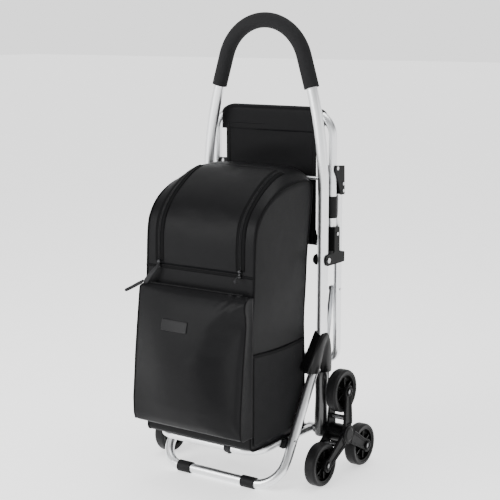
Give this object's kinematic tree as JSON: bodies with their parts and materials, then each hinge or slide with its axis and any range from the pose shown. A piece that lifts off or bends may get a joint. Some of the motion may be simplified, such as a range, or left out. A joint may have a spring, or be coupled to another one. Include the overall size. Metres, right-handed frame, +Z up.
{
  "type": "stair climbing shopping trolley",
  "caption": "Folding two-wheeled-cluster shopping trolley with a lift-off zipped bag, an arched handle and a fold-down sling seat.",
  "frame": {"origin": "on the floor under the middle of the folded trolley's overall box", "axes": "+Z up, +X to the trolley's right seen from the bag side, -Y towards the bag, +Y towards the seat"},
  "size_m": [0.4818, 0.45, 1.0618],
  "materials": {
    "aluminium_tube": "satin anodised",
    "steel_fasteners": "brushed zinc plate",
    "moulded_plastic": "fine grained black",
    "black_plate": "black powder coat",
    "black_tube": "gloss black coat",
    "foam_grip": "closed cell foam",
    "rubber": "matt black",
    "bag_fabric": "coated nylon weave, black",
    "pocket_fabric": "smooth coated nylon, black",
    "mesh_fabric": "knitted mesh, black",
    "sling_fabric": "heavy polyester weave, black",
    "label": "blank moulded patch",
    "zip_metal": "black lacquered metal",
    "carrier_plastic": "glass filled nylon, black",
    "rim_plastic": "moulded black",
    "tyre": "soft black thermoplastic rubber"
  },
  "bodies": {
    "frame": {"handle_tube": "aluminium_tube", "handle_grip": "foam_grip", "tie_rod": "aluminium_tube", "bracket_outer_left": "moulded_plastic", "bracket_outer_right": "moulded_plastic", "bracket_inner_left": "moulded_plastic", "bracket_inner_right": "moulded_plastic", "lower_leg_left": "black_tube", "lower_leg_right": "black_tube", "lower_leg_caps": "moulded_plastic", "axle_shaft": "steel_fasteners", "front_stand": "aluminium_tube", "foot_sleeve_left": "rubber", "foot_sleeve_right": "rubber", "stand_clips": "moulded_plastic", "frame_rivets": "steel_fasteners", "pivot_pins": "steel_fasteners"},
    "platform": {"platform_loop": "aluminium_tube"},
    "bag": {"bag_body": "bag_fabric", "bag_pocket": "pocket_fabric", "side_pockets": "mesh_fabric", "bag_base_board": "moulded_plastic", "bag_hooks": "moulded_plastic", "zip_pulls": "zip_metal", "label_patch": "label"},
    "lid": {"bag_lid": "bag_fabric"},
    "seat": {"seat_frame": "aluminium_tube", "seat_bar": "aluminium_tube", "seat_sling": "sling_fabric", "seat_sleeves": "rubber", "hinge_bracket_left": "black_plate", "hinge_bracket_right": "black_plate", "seat_rivets": "steel_fasteners"},
    "rear_legs": {"rear_leg_frame": "aluminium_tube", "leg_bracket_left": "black_plate", "leg_bracket_right": "black_plate", "leg_rivets": "steel_fasteners"},
    "stay_left_arm": {"stay_left": "aluminium_tube"},
    "stay_right_arm": {"stay_right": "aluminium_tube"},
    "cluster_left": {"carrier_outer_left": "carrier_plastic", "carrier_inner_left": "carrier_plastic", "cluster_bolts_left": "steel_fasteners", "hub_cap_left": "carrier_plastic"},
    "wheel_left_front": {"rim_left_front": "rim_plastic", "tyre_left_front": "tyre"},
    "wheel_left_rear": {"rim_left_rear": "rim_plastic", "tyre_left_rear": "tyre"},
    "wheel_left_top": {"rim_left_top": "rim_plastic", "tyre_left_top": "tyre"},
    "cluster_right": {"carrier_outer_right": "carrier_plastic", "carrier_inner_right": "carrier_plastic", "cluster_bolts_right": "steel_fasteners", "hub_cap_right": "carrier_plastic"},
    "wheel_right_front": {"rim_right_front": "rim_plastic", "tyre_right_front": "tyre"},
    "wheel_right_rear": {"rim_right_rear": "rim_plastic", "tyre_right_rear": "tyre"},
    "wheel_right_top": {"rim_right_top": "rim_plastic", "tyre_right_top": "tyre"}
  },
  "joints": [
    {"name": "bag_lift", "type": "slide", "parent": "frame", "child": "bag", "axis": [0, -0.1392, 0.9903], "range_m": [0, 0.6]},
    {"name": "platform_fold", "type": "hinge", "parent": "frame", "child": "platform", "pos_m": [0, 0.08696, 0.10085], "axis": [-1, 0, 0], "range_deg": [0, 85]},
    {"name": "lid_open", "type": "hinge", "parent": "bag", "child": "lid", "pos_m": [0, -0.16304, 0.505], "axis": [1, 0, 0], "range_deg": [0, 100]},
    {"name": "seat_fold", "type": "hinge", "parent": "frame", "child": "seat", "pos_m": [0, 0.08696, 0.503], "axis": [-1, 0, 0], "range_deg": [0, 88.8]},
    {"name": "rear_leg_fold", "type": "hinge", "parent": "seat", "child": "rear_legs", "pos_m": [0, 0.12496, 0.711], "axis": [-1, 0, 0], "range_deg": [-88.8, 0]},
    {"name": "stay_fold_left", "type": "hinge", "parent": "frame", "child": "stay_left_arm", "pos_m": [-0.15, 0.11196, 0.217], "axis": [-1, 0, 0], "range_deg": [0, 88.8]},
    {"name": "stay_fold_right", "type": "hinge", "parent": "frame", "child": "stay_right_arm", "pos_m": [0.15, 0.11196, 0.217], "axis": [-1, 0, 0], "range_deg": [0, 88.8]},
    {"name": "cluster_spin_left", "type": "hinge", "parent": "frame", "child": "cluster_left", "pos_m": [-0.21, 0.08696, 0.10085], "axis": [1, 0, 0], "continuous": true},
    {"name": "wheel_spin_left_front", "type": "hinge", "parent": "cluster_left", "child": "wheel_left_front", "pos_m": [-0.216, -0.00111, 0.05], "axis": [1, 0, 0], "continuous": true},
    {"name": "wheel_spin_left_rear", "type": "hinge", "parent": "cluster_left", "child": "wheel_left_rear", "pos_m": [-0.216, 0.17504, 0.05], "axis": [1, 0, 0], "continuous": true},
    {"name": "wheel_spin_left_top", "type": "hinge", "parent": "cluster_left", "child": "wheel_left_top", "pos_m": [-0.216, 0.08696, 0.20255], "axis": [1, 0, 0], "continuous": true},
    {"name": "cluster_spin_right", "type": "hinge", "parent": "frame", "child": "cluster_right", "pos_m": [0.21, 0.08696, 0.10085], "axis": [1, 0, 0], "continuous": true},
    {"name": "wheel_spin_right_front", "type": "hinge", "parent": "cluster_right", "child": "wheel_right_front", "pos_m": [0.216, -0.00111, 0.05], "axis": [1, 0, 0], "continuous": true},
    {"name": "wheel_spin_right_rear", "type": "hinge", "parent": "cluster_right", "child": "wheel_right_rear", "pos_m": [0.216, 0.17504, 0.05], "axis": [1, 0, 0], "continuous": true},
    {"name": "wheel_spin_right_top", "type": "hinge", "parent": "cluster_right", "child": "wheel_right_top", "pos_m": [0.216, 0.08696, 0.20255], "axis": [1, 0, 0], "continuous": true}
  ],
  "couplings": [
    {"joint": "platform_fold", "follows": "bag_lift", "rad_per_m": 2.47},
    {"joint": "rear_leg_fold", "follows": "seat_fold", "ratio": -1},
    {"joint": "stay_fold_left", "follows": "seat_fold", "ratio": 1},
    {"joint": "stay_fold_right", "follows": "seat_fold", "ratio": 1}
  ]
}
